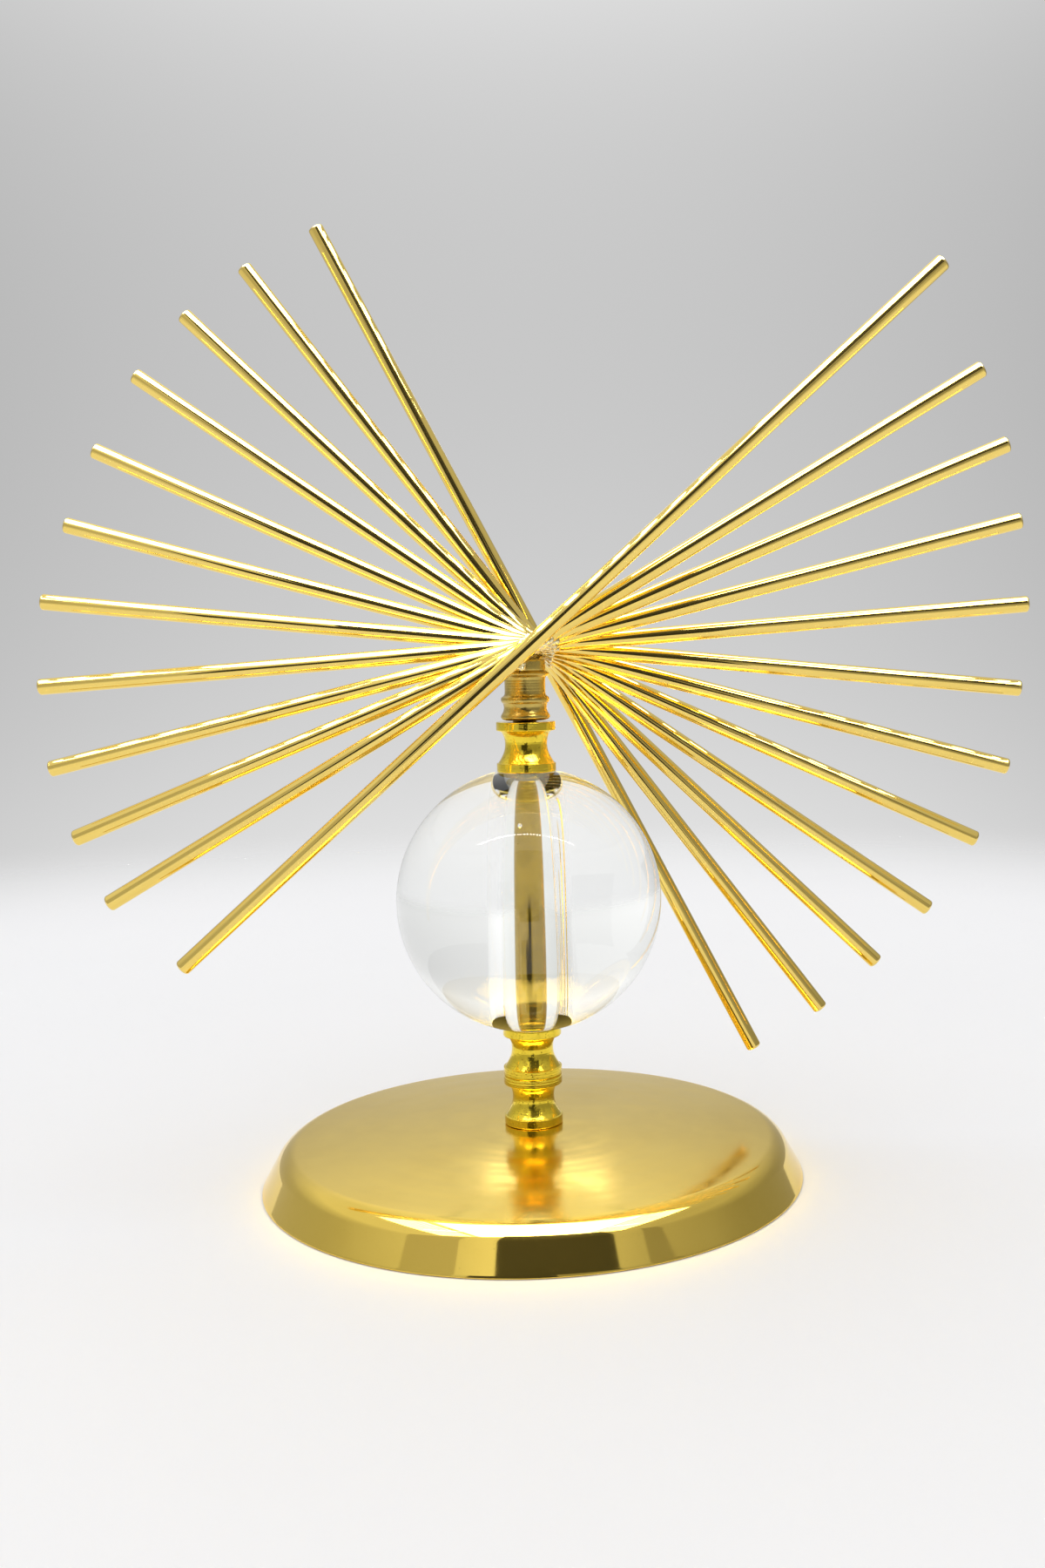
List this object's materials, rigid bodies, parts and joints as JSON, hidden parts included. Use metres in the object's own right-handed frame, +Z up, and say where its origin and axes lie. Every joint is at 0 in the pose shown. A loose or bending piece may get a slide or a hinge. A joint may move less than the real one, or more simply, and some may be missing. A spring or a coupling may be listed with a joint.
{
  "type": "rod fan table sculpture",
  "caption": "Brass rods fanned out like a sunburst, soldered on a swivelling collar, above a clear glass ball on a turned stem and a round spun dish base.",
  "frame": {"origin": "centre of the base's rest plane, on the stem's axis", "axes": "+Z up along the stem; the rods are stacked along Y, with the front-most rod at -Y; each rod lies in its own XZ plane"},
  "size_m": [0.3044, 0.172, 0.3041],
  "materials": {
    "polished_brass_rod": "polished, with worn streaks",
    "turned_brass": "turned and polished, finely pitted flanges",
    "satin_brass_sheet": "satin top, polished skirt",
    "sleeve_brass": "drawn, lightly tarnished",
    "threaded_brass": "rolled thread",
    "stained_brass": "heat stained by soldering",
    "solder": "lumpy brazing metal",
    "zinc_steel": "zinc plated",
    "clear_plastic": "clear, slightly cloudy",
    "clear_glass": "polished solid glass"
  },
  "bodies": {
    "stand": {"base_dish": "satin_brass_sheet", "base_washer": "zinc_steel", "base_nut": "zinc_steel", "stem_rod": "threaded_brass", "stem_sleeve": "sleeve_brass", "lower_neck": "turned_brass", "middle_neck": "turned_brass", "upper_neck": "turned_brass", "lower_ball_bush": "clear_plastic", "upper_ball_bush": "clear_plastic"},
    "ball": {"glass_ball": "clear_glass"},
    "fan": {"fan_collar": "stained_brass", "collar_solder": "solder", "rod_solder": "solder", "rod_01": "polished_brass_rod", "rod_02": "polished_brass_rod", "rod_03": "polished_brass_rod", "rod_04": "polished_brass_rod", "rod_05": "polished_brass_rod", "rod_06": "polished_brass_rod", "rod_07": "polished_brass_rod", "rod_08": "polished_brass_rod", "rod_09": "polished_brass_rod", "rod_10": "polished_brass_rod", "rod_11": "polished_brass_rod", "rod_12": "polished_brass_rod"}
  },
  "joints": [
    {"name": "fan_swivel", "type": "hinge", "parent": "stand", "child": "fan", "pos_m": [0, 0, 0.155], "axis": [0, 0, 1], "continuous": true},
    {"name": "ball_turn", "type": "hinge", "parent": "stand", "child": "ball", "pos_m": [0, 0, 0.0885], "axis": [0, 0, 1], "continuous": true}
  ]
}
